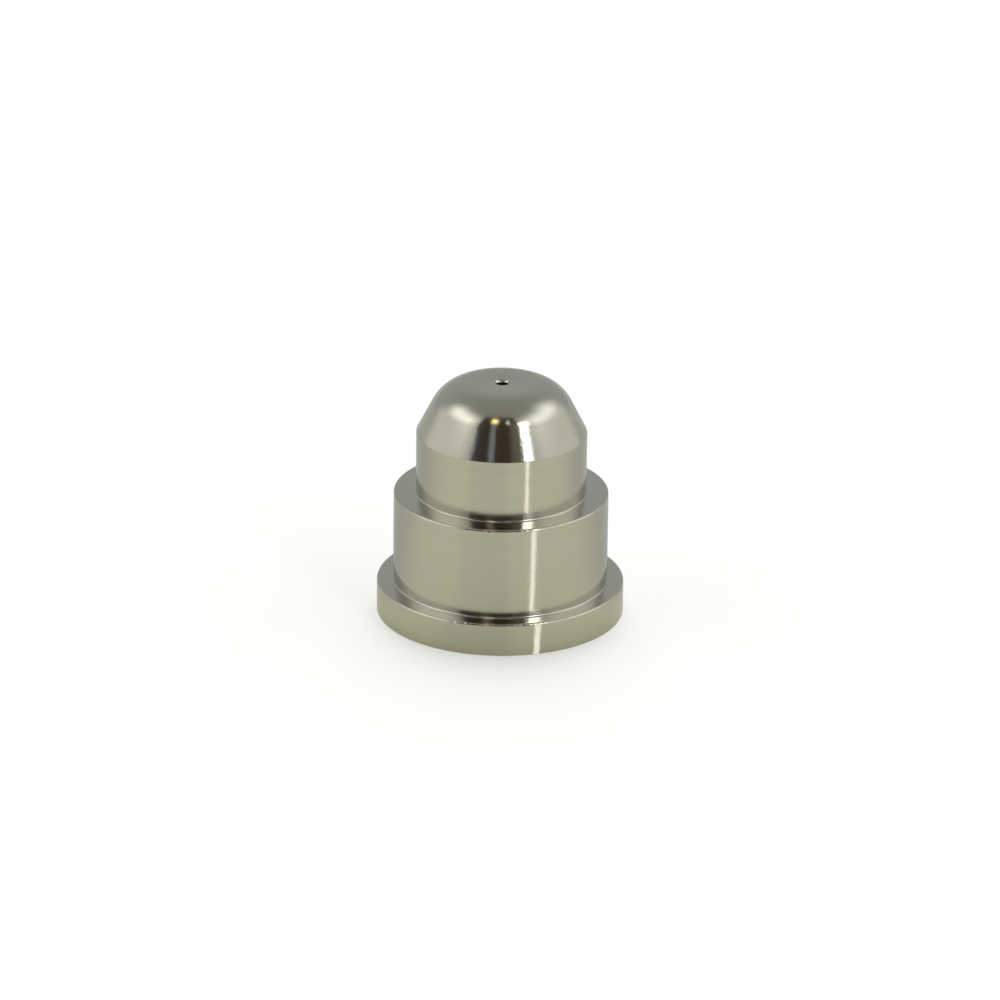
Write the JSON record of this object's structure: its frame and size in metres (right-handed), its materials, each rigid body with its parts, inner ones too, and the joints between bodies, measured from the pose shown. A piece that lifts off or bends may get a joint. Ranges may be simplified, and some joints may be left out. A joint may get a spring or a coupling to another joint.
{
  "type": "plasma torch nozzle",
  "caption": "Stepped round nozzle with a clamping flange, a tapered tip and a fine central orifice; it is bored from the rear.",
  "frame": {"origin": "centre of the rear face, which the nozzle stands on", "axes": "+Z along the turning axis, from the rear face towards the tip; X and Y are equivalent"},
  "size_m": [0.022, 0.022, 0.0216],
  "materials": {
    "nickel_plate": "gloss"
  },
  "bodies": {
    "root": {"nozzle": "nickel_plate"}
  },
  "joints": []
}
